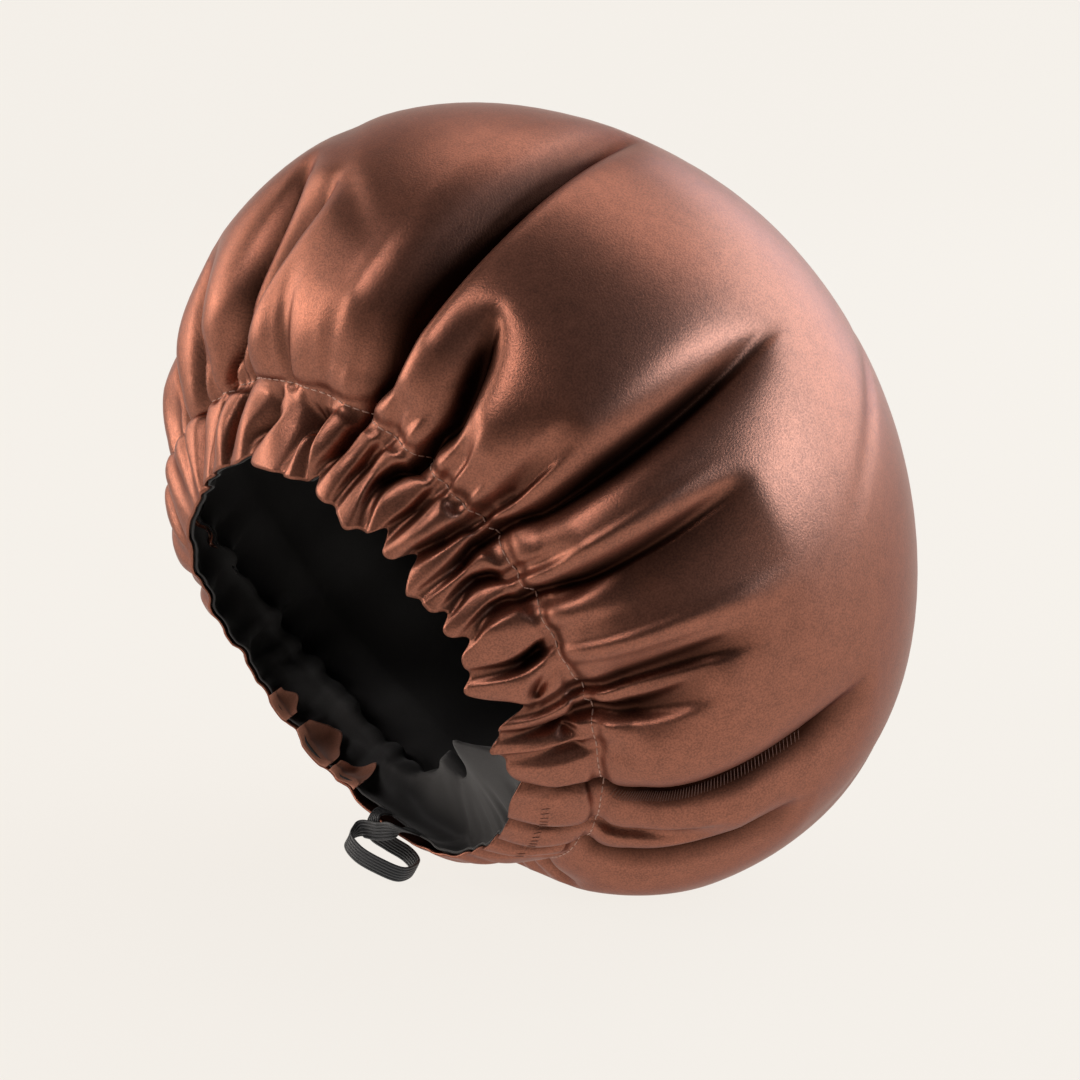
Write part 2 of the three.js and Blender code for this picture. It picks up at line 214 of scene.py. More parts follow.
# Waves round the bonnet: count, phase in radians, size.
FRILL_LOBES = ((11, 0.4, 1.0), (19, 1.9, 0.8), (31, 4.0, 0.6))
OVERLAP_WAVES = ((5, 0.7, 1.0), (8, 2.1, 0.8))

# First numbers of the scatter for each quality of a fold.
FAR_REACH_DRAW, FAR_DEPTH_DRAW, FAR_END_DRAW = 40, 80, 120
FRILL_BOW_DRAW, FRILL_UNEVEN_DRAW = 600, 650


def ease(x: Array) -> Array:
    """Steps from 0 to 1 with level ends."""
    c = np.clip(x, 0.0, 1.0)
    return c * c * (3.0 - 2.0 * c)


def turn(angle: Array) -> Array:
    """Brings an angle in degrees between -180 and 180."""
    return (angle + 180.0) % 360.0 - 180.0


def notch(x: Array, rounding: float) -> Array:
    """A valley's cross-section: 1 in the middle, fading as an exponential to both sides.

    Args:
        x: Distance from the valley's line, in valley widths.
        rounding: How blunt the bottom is, in valley widths.

    Returns:
        Share of the valley's depth, exp(rounding - sqrt(x^2 + rounding^2)).
    """
    return np.exp(rounding - np.sqrt(x * x + rounding * rounding))


def gap(x: Array, rounding: float) -> Array:
    """A steep-sided gap between two rolls of cloth, with rounded shoulders.

    Args:
        x: Distance from the gap's line, in valley widths.
        rounding: How blunt the shoulders are.

    Returns:
        Share of the gap's depth, half exp(-x^4) and half a wider notch.
    """
    return 0.5 * np.exp(-(x**4)) + 0.5 * notch(x / GAP_WIDENING, rounding)


def scatter(n: Array) -> Array:
    """A fixed scatter between -1 and 1 for whole numbers n."""
    v = np.sin(n * 12.9898 + 4.1) * 43.7585
    return 2.0 * (v - np.floor(v)) - 1.0


def ramp(x: Array, span: Span) -> Array:
    """Eased step from 0 to 1 over a span, given as its start and its width."""
    return ease((x - span[0]) / span[1])


def waves(angle: Array, rows: tuple[tuple[int, float, float], ...]) -> Array:
    """Sum of sines round the bonnet, for angles in degrees."""
    return sum(size * np.sin(count * np.radians(angle) + phase) for count, phase, size in rows)


def unit(vectors: Array) -> Array:
    """Vectors brought to length 1 along the last axis."""
    return vectors / np.linalg.norm(vectors, axis=-1)[..., None]


def lengths(line: Array) -> Array:
    """Length along a line at each of its points."""
    steps = np.linalg.norm(np.diff(line, axis=0), axis=1)
    return np.concatenate([[0.0], np.cumsum(steps)])


def along_line(where: Array, run: Array, line: Array) -> Array:
    """Points of a line at chosen lengths.

    Args:
        where: The chosen lengths.
        run: Length along the line at each of its points.
        line: The line's points.

    Returns:
        Points with a last axis of three.
    """
    return np.stack([np.interp(where, run, line[:, k]) for k in range(3)], -1)


@dataclass
class BonnetForm:
    """The shape of the cloth: a tilted, gathered bag over angle and station.

    Station -1 is the opening edge, 0 the stitch line and 1 the crown point. Angle 0 is +X and
    90 degrees the top. All sizes are in millimetres.
    """

    opening_radius: float = 83.0
    stitch_radius: float = 103.0
    stitch_along: float = 22.0
    crown_radius: float = 150.0
    crown_along: float = 98.0
    crown_cap: float = 118.0
    crown_knee: float = 0.42
    tilt_deg: float = 26.0
    opening_centre: Triple = (0.0, -108.0, 91.5)
    lining_shrink: float = 20.0
    lining_shrink_top: float = 2.5
    lining_loose: Span = (0.03, 0.16)
    lining_slack: Span = (0.4, 0.5)
    lining_calm: Span = (-1.0, 0.3)
    bulge_lean: float = 0.2
    bulge_rest: float = 8.0
    bulge_even: float = 24.0
    frill_puff: float = 3.5
    groove_depth: float = 0.9
    groove_below: float = 0.06
    groove_above: float = 0.015
    edge_scallop: float = 3.0
    seat_softness: float = 4.0
    band_exit_deg: float = -106.0
    band_exit_span: float = 16.0
    band_exit_gap: float = 2.6
    band_clear: Span = (-0.5, 0.4)
    band_flat: Span = (-0.2, 0.3)
    band_flat_share: float = 0.9
    far_first_deg: float = 138.0
    far_last_deg: float = 286.0
    far_folds: int = 20
    far_jitter: float = 0.25
    far_end_deg: float = 3.0
    far_depth: float = 5.0
    far_depth_spread: float = 0.3
    far_width: float = 4.2
    far_frill_width: float = 0.85
    far_reach: float = 0.2
    far_reach_middle: float = 1.5
    seat_deg: float = 270.0
    seat_span_deg: float = 42.0
    seat_reach: float = 0.1
    valley_rounding: float = 0.28
    normal_ahead: float = 0.01
    normal_behind: float = 0.03
    swell_end: Span = (0.8, 0.2)
    fold_join: Span = (-0.16, 0.18)
    crown_gain: float = 1.9
    crown_start: float = 0.5
    crown_start_reach: float = 0.08
    least_radius: float = 20.0
    long_fold: Span = (0.2, 0.15)
    tip_power: float = 2.0
    tip_power_long: float = 3.0
    tip_fade: float = 1.3
    tip_widening: float = 0.7
    broad_span: Span = (0.0, 0.12)
    broad_share: float = 0.35
    broad_width: float = 2.6
    frill_gain: float = 1.7
    frill_start: float = 0.6
    frill_start_reach: float = 0.4
    frill_uneven: float = 0.5
    edge_calm: float = 0.62
    lobe_height: float = 1.3
    frill_bow_deg: float = 2.4
    far_frill_share: float = 0.5
    deepest: float = 19.0
    overlap: float = 0.3
    overlap_join: Span = (-0.2, 0.35)
    overlap_top: float = 0.9
    overlap_radius: float = 60.0
    near_deg: float = 34.0
    near_span_deg: float = 108.0
    crown_rows: list[CrownFold] = field(default_factory=lambda: list(CROWN_FOLDS))
    frill_rows: list[FrillFold] = field(default_factory=lambda: list(FRILL_FOLDS))

    def __post_init__(self) -> None:
        """Adds the plain gathers of the far side."""
        pitch = (self.far_last_deg - self.far_first_deg) / self.far_folds
        for i in range(self.far_folds + 1):
            at = self.far_first_deg + pitch * (i + self.far_jitter * float(scatter(i)))
            seat = float(np.exp(-(((at - self.seat_deg) / self.seat_span_deg) ** 4)))
            free = self.far_reach * (self.far_reach_middle + float(scatter(i + FAR_REACH_DRAW)))
            reach = seat * self.seat_reach + (1 - seat) * free
            spread = self.far_depth_spread * float(scatter(i + FAR_DEPTH_DRAW))
            depth = self.far_depth * (1 + spread)
            end = at + self.far_end_deg * float(scatter(i + FAR_END_DRAW))
            self.crown_rows.append(CrownFold(at, end, 0.0, reach, depth, self.far_width, 0.0))
            calm = depth * self.far_frill_share
            width = self.far_width * self.far_frill_width
            self.frill_rows.append(FrillFold(at, end, calm, width))

    def section(self, station: Array) -> tuple[Array, Array]:
        """Radius and distance along the axis of the plain bonnet.

        The frill is a straight run with a half-sine puff. The crown is a quarter ellipse from
        the stitch line out to its widest ring, then a second one in to the crown point.

        Args:
            station: Stations from -1 to 1.

        Returns:
            Radius and along, in millimetres.
        """
        rise = self.stitch_radius - self.opening_radius
        run = np.hypot(rise, self.stitch_along)
        puff = self.frill_puff * np.sin(-np.clip(station, -1, 0) * np.pi)
        left = 1.0 + np.clip(station, -1, 0)
        frill_r = self.opening_radius + rise * left + self.stitch_along / run * puff
        frill_w = self.stitch_along * left - rise / run * puff
        low = np.clip(station / self.crown_knee, 0, 1) * np.pi / 2
        low_r = self.stitch_radius + (self.crown_radius - self.stitch_radius) * np.sin(low)
        low_w = self.crown_along - (self.crown_along - self.stitch_along) * np.cos(low)
        cap = np.clip((station - self.crown_knee) / (1 - self.crown_knee), 0, 1) * np.pi / 2
        cap_r = self.crown_radius * np.cos(cap)
        cap_w = self.crown_along + self.crown_cap * np.sin(cap)
        radius = np.where(station < 0, frill_r, np.where(station < self.crown_knee, low_r, cap_r))
        along = np.where(station < 0, frill_w, np.where(station < self.crown_knee, low_w, cap_w))
        return radius, along

    def section_normal(self, station: Array) -> tuple[Array, Array]:
        """Outward direction of the section, as radial and along parts.

        Args:
            station: Stations from -1 to 1.

        Returns:
            Radial and along parts of a unit direction.
        """
        here = self.section(station)
        on = self.section(np.minimum(1.0, station + self.normal_ahead))
        back = self.section(np.maximum(-1.0, station - self.normal_behind))
        tangent_r = np.zeros_like(station)
        tangent_w = np.zeros_like(station)
        for a, b in ((back, here), (here, on)):
            length = np.maximum(np.hypot(b[0] - a[0], b[1] - a[1]), 1e-9)
            tangent_r = tangent_r + (b[0] - a[0]) / length
            tangent_w = tangent_w + (b[1] - a[1]) / length
        length = np.hypot(tangent_r, tangent_w)
        top = station > 0.999
        return (
            np.where(top, 0.0, tangent_w / length),
            np.where(top, 1.0, -tangent_r / length),
        )

    def fullness(self, angle: Array, station: Array) -> Array:
        """Lift of the broad swells, each a Gaussian in angle and station.

        Args:
            angle: Angles in degrees.
            station: Stations from -1 to 1.

        Returns:
            Lift in millimetres.
        """
        lift = np.zeros(np.broadcast(angle, station).shape)
        for s in SWELLS:
            a = turn(angle - s.angle_deg) / s.span_deg
            b = (station - s.station) / s.reach
            lift = lift + s.lift_mm * np.exp(-a * a - b * b)
        return lift * (1.0 - ramp(station, self.swell_end))

    def crown_depth(self, angle: Array, station: Array) -> Array:
        """Depth of the crown's valleys below the plain shape.

        Args:
            angle: Angles in degrees.
            station: Stations from 0 to 1.

        Returns:
            Depth in millimetres, the sum of each valley's notch times its fading depth.
        """
        radius = np.maximum(self.least_radius, self.section(station)[0])
        start = self.crown_start
        rise = start + (1 - start) * np.minimum(1.0, station / self.crown_start_reach)
        depth = np.zeros(np.broadcast(angle, station).shape)
        for f in self.crown_rows:
            t = np.clip(station / f.reach, 0, 1)
            path = f.at_deg + (f.tip_deg - f.at_deg) * t + f.bow_deg * 4 * t * (1 - t)
            offset = np.radians(turn(angle - path)) * radius
            side = np.where(offset > 0, 1 + f.lean, 1 - f.lean)
            power = self.tip_power + self.tip_power_long * float(ramp(f.reach, self.long_fold))
            fade = (1 - t**power) ** self.tip_fade
            x = offset * side / (f.width_mm * (1 + self.tip_widening * t * t))
            broad = self.broad_share * ramp(station, self.broad_span)
            steep = gap(x, self.valley_rounding)
            wall = np.where(offset * f.lean < 0, notch(x, self.valley_rounding), steep)
            share = (1 - broad) * wall + broad * np.exp(-((x / self.broad_width) ** 2))
            depth = depth + self.crown_gain * f.depth_mm * rise * fade * share
        return self.limited(depth)

    def frill_depth(self, angle: Array, station: Array) -> Array:
        """Depth of the frill's valleys below the plain shape.

        Args:
            angle: Angles in degrees.
            station: Stations from -1 to 0.

        Returns:
            Depth in millimetres.
        """
        q = -station
        radius = self.section(station)[0]
        start = self.frill_start
        rise = start + (1 - start) * np.minimum(1.0, q / self.frill_start_reach)
        rise = rise * (1 - self.edge_calm * q * q)
        lobes = 1 - waves(angle, FRILL_LOBES)
        depth = self.lobe_height * self.near_side(angle) * np.sin(np.pi * q) * lobes
        for i, f in enumerate(self.frill_rows):
            bow = self.frill_bow_deg * float(scatter(i + FRILL_BOW_DRAW)) * np.sin(np.pi * q)
            path = f.at_deg + (f.edge_deg - f.at_deg) * q + bow
            offset = np.radians(turn(angle - path)) * radius
            share = gap(offset / f.width_mm, self.valley_rounding)
            uneven = self.frill_uneven * float(scatter(i + FRILL_UNEVEN_DRAW))
            uneven = 1 + uneven * np.cos(np.pi * q)
            depth = depth + self.frill_gain * f.depth_mm * rise * uneven * share
        return self.limited(depth)

    def limited(self, depth: Array) -> Array:
        """Depth that nears its greatest value smoothly."""
        return self.deepest * np.tanh(depth / self.deepest)

    def near_side(self, angle: Array) -> Array:
        """Share of the charted side, 1 over most of it and 0 at the back."""
        return np.exp(-((turn(angle - self.near_deg) / self.near_span_deg) ** 6))

    def overlaps(self, angle: Array, station: Array) -> Array:
        """How far a fold's bottom tucks sideways under its lower crest, per unit of depth.

        Args:
            angle: Angles in degrees.
            station: Stations from -1 to 1.

        Returns:
            The share; even on the near crown, wavering round the frill, none on the far side.
        """
        crown = ramp(station, self.overlap_join)
        waver = crown + (1 - crown) * waves(angle, OVERLAP_WAVES)
        return self.overlap * self.near_side(angle) * waver

    def band_exit(self, angle: Array) -> Array:
        """Share of the gap the elastic leaves through, 1 in its middle."""
        return np.exp(-((turn(angle - self.band_exit_deg) / self.band_exit_span) ** 4))

    def fold_depth(self, angle: Array, station: Array) -> Array:
        """Depth of all folds, meeting smoothly across the stitch line.

        Args:
            angle: Angles in degrees.
            station: Stations from -1 to 1.

        Returns:
            Depth in millimetres, with the groove of the stitch line.
        """
        share = ramp(station, self.fold_join)
        crown = self.crown_depth(angle, np.maximum(station, 0.0))
        frill = self.frill_depth(angle, np.minimum(station, 0.0))
        near = station / np.where(station < 0, self.groove_below, self.groove_above)
        groove = self.groove_depth * np.exp(-near * near)
        flat = self.band_flat_share * self.band_exit(angle) * (1 - ramp(station, self.band_flat))
        folds = share * crown + (1 - share) * frill
        return folds * (1 - flat) + groove + self.slanted(SATIN_SWELLS, angle, station)

    def seated(self, z: Array, level: float | Array) -> Array:
        """Height kept above a level, rounded where the cloth meets it.

        Args:
            z: Heights in millimetres.
            level: Lowest height allowed.

        Returns:
            Heights, joined to the level by a parabola.
        """
        above = np.clip(z - level, -self.seat_softness, self.seat_softness)
        rounded = level + (above + self.seat_softness) ** 2 / (4 * self.seat_softness)
        return np.where(z - level >= self.seat_softness, z, rounded)

    def cloth(
        self, angle: Array, station: Array, inset: float | Array, layer: Layer
    ) -> Array:
        """Points of a cloth layer, at a depth below the satin's face.

        The section's point moves along its outward direction by the swells less the folds and the
        inset, turns about the tilted axis by the angle, and is then kept above the floor. The
        lining follows the folds in the frill and hangs clear of them in the crown. Its own folds
        move it straight towards the axis, and where they are high it no longer follows the satin.

        Args:
            angle: Angles in degrees.
            station: Stations from -1 to 1.
            inset: Depth below the satin's face in millimetres.
            layer: Which cloth it is.

        Returns:
            Points in millimetres, with a last axis of three.
        """
        angle, station = np.broadcast_arrays(angle, station)
        radius, along = self.section(station)
        out_r, out_w = self.section_normal(station)
        fold = self.fold_depth(angle, station)
        depth = fold
        bulge = 0.0
        if layer is Layer.LINING:
            loose = ramp(station, self.lining_loose)
            slack = ramp(station, self.lining_slack)
            shrink = self.lining_shrink * (1 - slack) + self.lining_shrink_top * slack
            clear = self.band_exit_gap * self.band_exit(angle)
            clear = clear * (1 - ramp(station, self.band_clear))
            bulge = self.lining_folds(angle, station)
            even = np.minimum(1.0, bulge / self.bulge_even)
            lying = fold + (self.bulge_rest - fold) * even
            depth = lying * (1 - loose) + shrink * loose + clear
        height = self.fullness(angle, station) - depth - inset
        scallop = self.edge_scallop * (0.5 - fold / self.deepest)
        for e in EDGE_NOTCHES:
            scallop = scallop - e.draw_mm * np.exp(-((turn(angle - e.at_deg) / e.span_deg) ** 2))
        pull = np.where(station < 0, scallop * np.abs(station) ** 3, 0.0)
        rise = self.stitch_radius - self.opening_radius
        run = np.hypot(rise, self.stitch_along)
        r = radius + out_r * height - pull * rise / run - bulge
        w = along + out_w * height - pull * self.stitch_along / run - self.bulge_lean * bulge
        tuck = self.overlaps(angle, station) * (depth + inset)
        tuck = np.where(station > self.overlap_top, 0.0, tuck)
        angle = angle - np.degrees(tuck / np.maximum(radius, self.overlap_radius))
        return self.placed(angle, r, w, inset)

    def lining_folds(self, angle: Array, station: Array) -> Array:
        """How far the lining folds in towards the axis, in millimetres and never outwards."""
        depth = self.slanted(LINING_SWELLS, angle, station)
        return np.maximum(depth, 0.0) * ramp(station, self.lining_calm)

    def slanted(self, rows: tuple[ClothSwell, ...], angle: Array, station: Array) -> Array:
        """Sum of soft folds, each a Gaussian that slants over angle and station.

        Args:
            rows: The folds.
            angle: Angles in degrees.
            station: Stations from -1 to 1.

        Returns:
            Depth in millimetres.
        """
        depth = np.zeros(np.broadcast(angle, station).shape)
        for f in rows:
            b = station - f.station
            a = (turn(angle - f.angle_deg) - f.slant * b) / f.span_deg
            depth = depth + f.lift_mm * np.exp(-a * a - (b / f.reach) ** 2)
        return depth

    def placed(self, angle: Array, r: Array, w: Array, level: float | Array) -> Array:
        """Turns radius and along about the tilted axis and seats the point on the floor.

        Args:
            angle: Angles in degrees.
            r: Radius from the axis.
            w: Distance along the axis from the opening's centre.
            level: Lowest height allowed.

        Returns:
            Points in millimetres, with a last axis of three.
        """
        tilt = np.radians(self.tilt_deg)
        a = np.radians(angle)
        v = r * np.sin(a)
        x = r * np.cos(a) + self.opening_centre[0]
        y = -v * np.sin(tilt) + w * np.cos(tilt) + self.opening_centre[1]
        z = v * np.cos(tilt) + w * np.sin(tilt) + self.opening_centre[2]
        return np.stack([x, y, self.seated(z, level)], axis=-1)


class MeshParts(NamedTuple):
    """Vertices with the quads and triangles between them."""

    points: Array
    quads: Array
    triangles: Array


def mesh_object(name: str, parts: MeshParts, material: bpy.types.Material) -> bpy.types.Object:
    """Makes a smooth-shaded object from arrays, with points in millimetres.

    Args:
        name: Name of the piece.
        parts: Its points, quads and triangles.
        material: Its only material.

    Returns:
        The linked object, at the origin.
    """
    mesh = bpy.data.meshes.new(name)
    mesh.vertices.add(len(parts.points))
    mesh.vertices.foreach_set("co", (parts.points * MM).astype(np.float32).ravel())
    corners = np.concatenate([parts.quads.ravel(), parts.triangles.ravel()]).astype(np.int32)
    quad_starts = np.arange(len(parts.quads)) * 4
    triangle_starts = len(parts.quads) * 4 + np.arange(len(parts.triangles)) * 3
    starts = np.concatenate([quad_starts, triangle_starts]).astype(np.int32)
    mesh.loops.add(len(corners))
    mesh.loops.foreach_set("vertex_index", corners)
    mesh.polygons.add(len(starts))
    mesh.polygons.foreach_set("loop_start", starts)
    mesh.update(calc_edges=True)
    mesh.polygons.foreach_set("use_smooth", np.ones(len(starts), dtype=bool))
    mesh.materials.append(material)
    obj = bpy.data.objects.new(name, mesh)
    bpy.context.scene.collection.objects.link(obj)
    return obj


def ring_quads(first: int, rows: int, columns: int) -> Array:
    """Quads between closed rings of points stored one after another.

    Args:
        first: Index of the first point.
        rows: Number of rings.
        columns: Points in a ring.

    Returns:
        Quads with four indices each.
    """
    row = np.arange(rows - 1)[:, None] * columns + first
    here = np.arange(columns)[None, :]
    beside = (here + 1) % columns
    quads = np.stack([row + here, row + columns + here, row + columns + beside, row + beside], -1)
    return quads.reshape(-1, 4)


def ring_fan(first: int, columns: int, tip: int, flip: bool = False) -> Array:
    """Triangles between a closed ring of points and one tip.

    Args:
        first: Index of the ring's first point.
        columns: Points in the ring.
        tip: Index of the tip.
        flip: Whether the triangles face the other way.

    Returns:
        Triangles with three indices each.
    """
    here = first + np.arange(columns)
    beside = np.roll(here, -1)
    pair = (beside, here) if flip else (here, beside)
    return np.stack([*pair, np.full(columns, tip)], -1)


def set_crease_shade(piece: bpy.types.Object, shares: Array) -> None:
    """Stores how far each point lies in a crease, from 0 to 1, as painted shade for its material.
    """
    layer = piece.data.attributes.new(CREASE_SHADE, "FLOAT", "POINT")
    layer.data.foreach_set("value", shares.astype(np.float32))


@dataclass
class ClothBag:
    """A closed cloth bag between a shown skin and a plainer skin behind it."""

    form: BonnetForm
    columns: int = 640
    crowding_deg: float = 19.0
    near_side_deg: float = 30.0
    crown_spacing: Span = (0.45, 0.55)

    def angles(self) -> Array:
        """Column angles, closer together on the side with the charted folds."""
        u = np.arange(self.columns) / self.columns - 0.5
        return self.near_side_deg + 360.0 * u - self.crowding_deg * np.sin(2 * np.pi * u)

    def stations(self, frill_rows: int, crown_rows: int) -> Array:
        """Ring stations from the edge to just short of the crown point.

        Args:
            frill_rows: Rings in the frill.
            crown_rows: Rings in the crown, closer together near the stitch line.

        Returns:
            Rising stations.
        """
        frill = np.linspace(-1.0, 0.0, frill_rows, endpoint=False)
        u = np.linspace(0.0, 1.0, crown_rows, endpoint=False)
        crown = self.crown_spacing[0] * u + self.crown_spacing[1] * u**2
        return np.concatenate([frill, crown])

    def grid(self, stations: Array) -> tuple[Array, ...]:
        """Angle and station of each column on each ring."""
        return tuple(np.broadcast_arrays(self.angles()[None, :], stations[:, None]))

    def skin(self, stations: Array, inset: float, layer: Layer) -> Array:
        """One skin's rings of points followed by its crown point.

        Args:
            stations: Ring stations.
            inset: Depth below the satin's face.
            layer: Which cloth it is.

        Returns:
            Points in millimetres.
        """
        rings = self.form.cloth(*self.grid(stations), inset, layer)
        tip = self.form.cloth(np.zeros(1), np.ones(1), inset, layer)
        return np.concatenate([rings.reshape(-1, 3), tip])

    def closed(self, outside: Array, inside: Array) -> MeshParts:
        """Joins two skins round the opening edge, with outward faces.

        Args:
            outside: Points of the skin that faces out.
            inside: Points of the skin that faces the hollow.

        Returns:
            The closed bag.
        """
        n, shift, total = self.columns, len(outside), len(outside) + len(inside)
        here = np.arange(n)
        beside = np.roll(here, -1)
        out_quads = ring_quads(0, shift // n, n)
        in_quads = ring_quads(shift, len(inside) // n, n)[:, ::-1]
        rim = np.stack([here, beside, shift + beside, shift + here], -1)
        out_fan = ring_fan(shift - 1 - n, n, shift - 1, flip=True)
        in_fan = ring_fan(total - 1 - n, n, total - 1)
        return MeshParts(
            np.concatenate([outside, inside]),
            np.concatenate([out_quads, in_quads, rim]),
            np.concatenate([out_fan, in_fan]),
        )


@dataclass
class SatinShell(ClothBag):
    """The copper satin face: crown, stitch groove and gathered frill in one piece."""

    wall: float = 0.9
    face_rows: tuple[int, int] = (28, 76)
    back_rows: tuple[int, int] = (20, 30)
    flat_diameter: float = 0.565
    # How the painted crease shade is measured: neighbour columns, full depth in mm and power.
    crease_shade_columns: int = 20
    crease_shade_mm: float = 5.5
    crease_shade_power: float = 0.8

    def crease_shade_shares(self, stations: Array) -> Array:
        """How far each point of the face lies in a crease, from 0 to 1.

        It is the fold depth less its mean over the neighbouring columns, over a full crease's
        depth. The satin's material paints shade by this share: darker colour and less coat.

        Args:
            stations: Ring stations.

        Returns:
            One share per ring and column.
        """
        depth = self.form.fold_depth(*self.grid(stations))
        reach = range(-self.crease_shade_columns, self.crease_shade_columns + 1)
        mean = np.mean([np.roll(depth, k, axis=1) for k in reach], axis=0)
        return np.clip((depth - mean) / self.crease_shade_mm, 0.0, 1.0) ** self.crease_shade_power

    def build(self, material: bpy.types.Material) -> bpy.types.Object:
        """Builds the satin bag from its face and a plainer back.

        Args:
            material: The satin.

        Returns:
            The dressed piece.
        """
        face = self.stations(*self.face_rows)
        outside = self.skin(face, 0.0, Layer.SATIN)
        inside = self.skin(self.stations(*self.back_rows), self.wall, Layer.SATIN)
        parts = self.closed(outside, inside)
        piece = mesh_object("satin_shell", parts, material)
        # Painted shade: these shares darken the satin's colour down in each crease.
        shares = self.crease_shade_shares(face).ravel()
        set_crease_shade(piece, np.pad(shares, (0, len(parts.points) - len(shares))))
        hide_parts("outer_shell")
        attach(piece, "root")
        return piece


@dataclass
class LiningBag(ClothBag):
    """The black lining that shows through the head opening."""

    columns: int = 440
    crowding_deg: float = -10.0
    inset: float = 1.8
    wall: float = 0.8
    shown_rows: tuple[int, int] = (24, 90)
    back_rows: tuple[int, int] = (24, 40)
    flat_diameter: float = 0.53

    def build(self, material: bpy.types.Material) -> bpy.types.Object:
        """Builds the lining from its shown inside and a plainer back.

        Args:
            material: The lining cloth.

        Returns:
            The dressed piece.
        """
        outside = self.skin(self.stations(*self.back_rows), self.inset, Layer.LINING)
        shown = self.stations(*self.shown_rows)
        inside = self.skin(shown, self.inset + self.wall, Layer.LINING)
        piece = mesh_object("lining_bag", self.closed(outside, inside), material)
        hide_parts("lining")
        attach(piece, "root")
        return piece


@dataclass
class SatinFlaps:
    """Lips of satin that turn over the rim and lie on the lining."""

    form: BonnetForm
    under: float = 3.0
    thick: float = 0.7
    over_edge: float = 1.2
    over_share: float = 0.3
    over_span: Span = (0.0, 0.15)
    edge_span: Span = (0.0, 0.3)
    rim_stations: Span = (-1.0, -0.9)
    curl: float = 2.4
    raggedness: float = 0.12
    arch_least: float = 0.05
    arch_power: float = 1.6
    rows: int = 18
    columns: int = 30

    def skin(self, lip: SatinLip, level: float) -> Array:
        """One face of a lip, a grid from the rim inwards.

        The lip's reach follows an arch over its span. It starts at the satin's edge, passes over
        the lining's edge and then lies on the lining, with its free edge curled up.

        Args:
            lip: The lip.
            level: Depth of the face below the satin's own face.

        Returns:
            Grid of points in millimetres.
        """
        u = np.linspace(-1.0, 1.0, self.columns)[None, :]
        v = np.linspace(0.0, 1.0, self.rows)[:, None]
        angle = lip.at_deg + lip.half_span_deg * u + 0.0 * v
        ragged = 1 + self.raggedness * np.sin(4 * u + lip.at_deg)
        arch = self.arch_least + (1 - self.arch_least) * (1 - np.abs(u) ** self.arch_power)
        station = -1.0 + lip.reach * arch * ragged * v
        depth = level + self.curl * v * v
        rim, inner = (
            self.form.cloth(angle, np.full(angle.shape, at), depth, Layer.LINING)
            for at in self.rim_stations
        )
        lying = self.form.cloth(angle, station, depth, Layer.LINING)
        edge = self.form.cloth(angle, station, self.over_share * depth, Layer.LINING)
        over = ramp(v, self.over_span)[..., None]
        past = self.over_edge * (1 - ramp(v, self.edge_span))[..., None]
        return edge + (lying - edge) * over + unit(rim - inner) * past

    def build(self, material: bpy.types.Material) -> bpy.types.Object:
        """Builds all lips as closed sheets in one mesh.

        Args:
            material: The satin.

        Returns:
            The dressed piece.
        """
        n, m = self.rows, self.columns
        grid = np.arange(n * m).reshape(n, m)
        loop = np.concatenate([grid[0, :-1], grid[:-1, -1], grid[-1, :0:-1], grid[:0:-1, 0]])
        face = np.stack([grid[:-1, :-1], grid[:-1, 1:], grid[1:, 1:], grid[1:, :-1]], -1)
        face = face.reshape(-1, 4)
        ahead = np.roll(loop, -1)
        wall = np.stack([loop, loop + n * m, ahead + n * m, ahead], -1)
        one = np.concatenate([face, face[:, ::-1] + n * m, wall])
        levels = (self.under + self.thick, self.under)
        points = [self.skin(lip, at).reshape(-1, 3) for lip in SATIN_LIPS for at in levels]
        quads = [one + 2 * n * m * k for k in range(len(SATIN_LIPS))]
        none = np.zeros((0, 3), dtype=int)
        parts = MeshParts(np.concatenate(points), np.concatenate(quads), none)
        piece = mesh_object("satin_lips", parts, material)
        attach(piece, "root")
        return piece


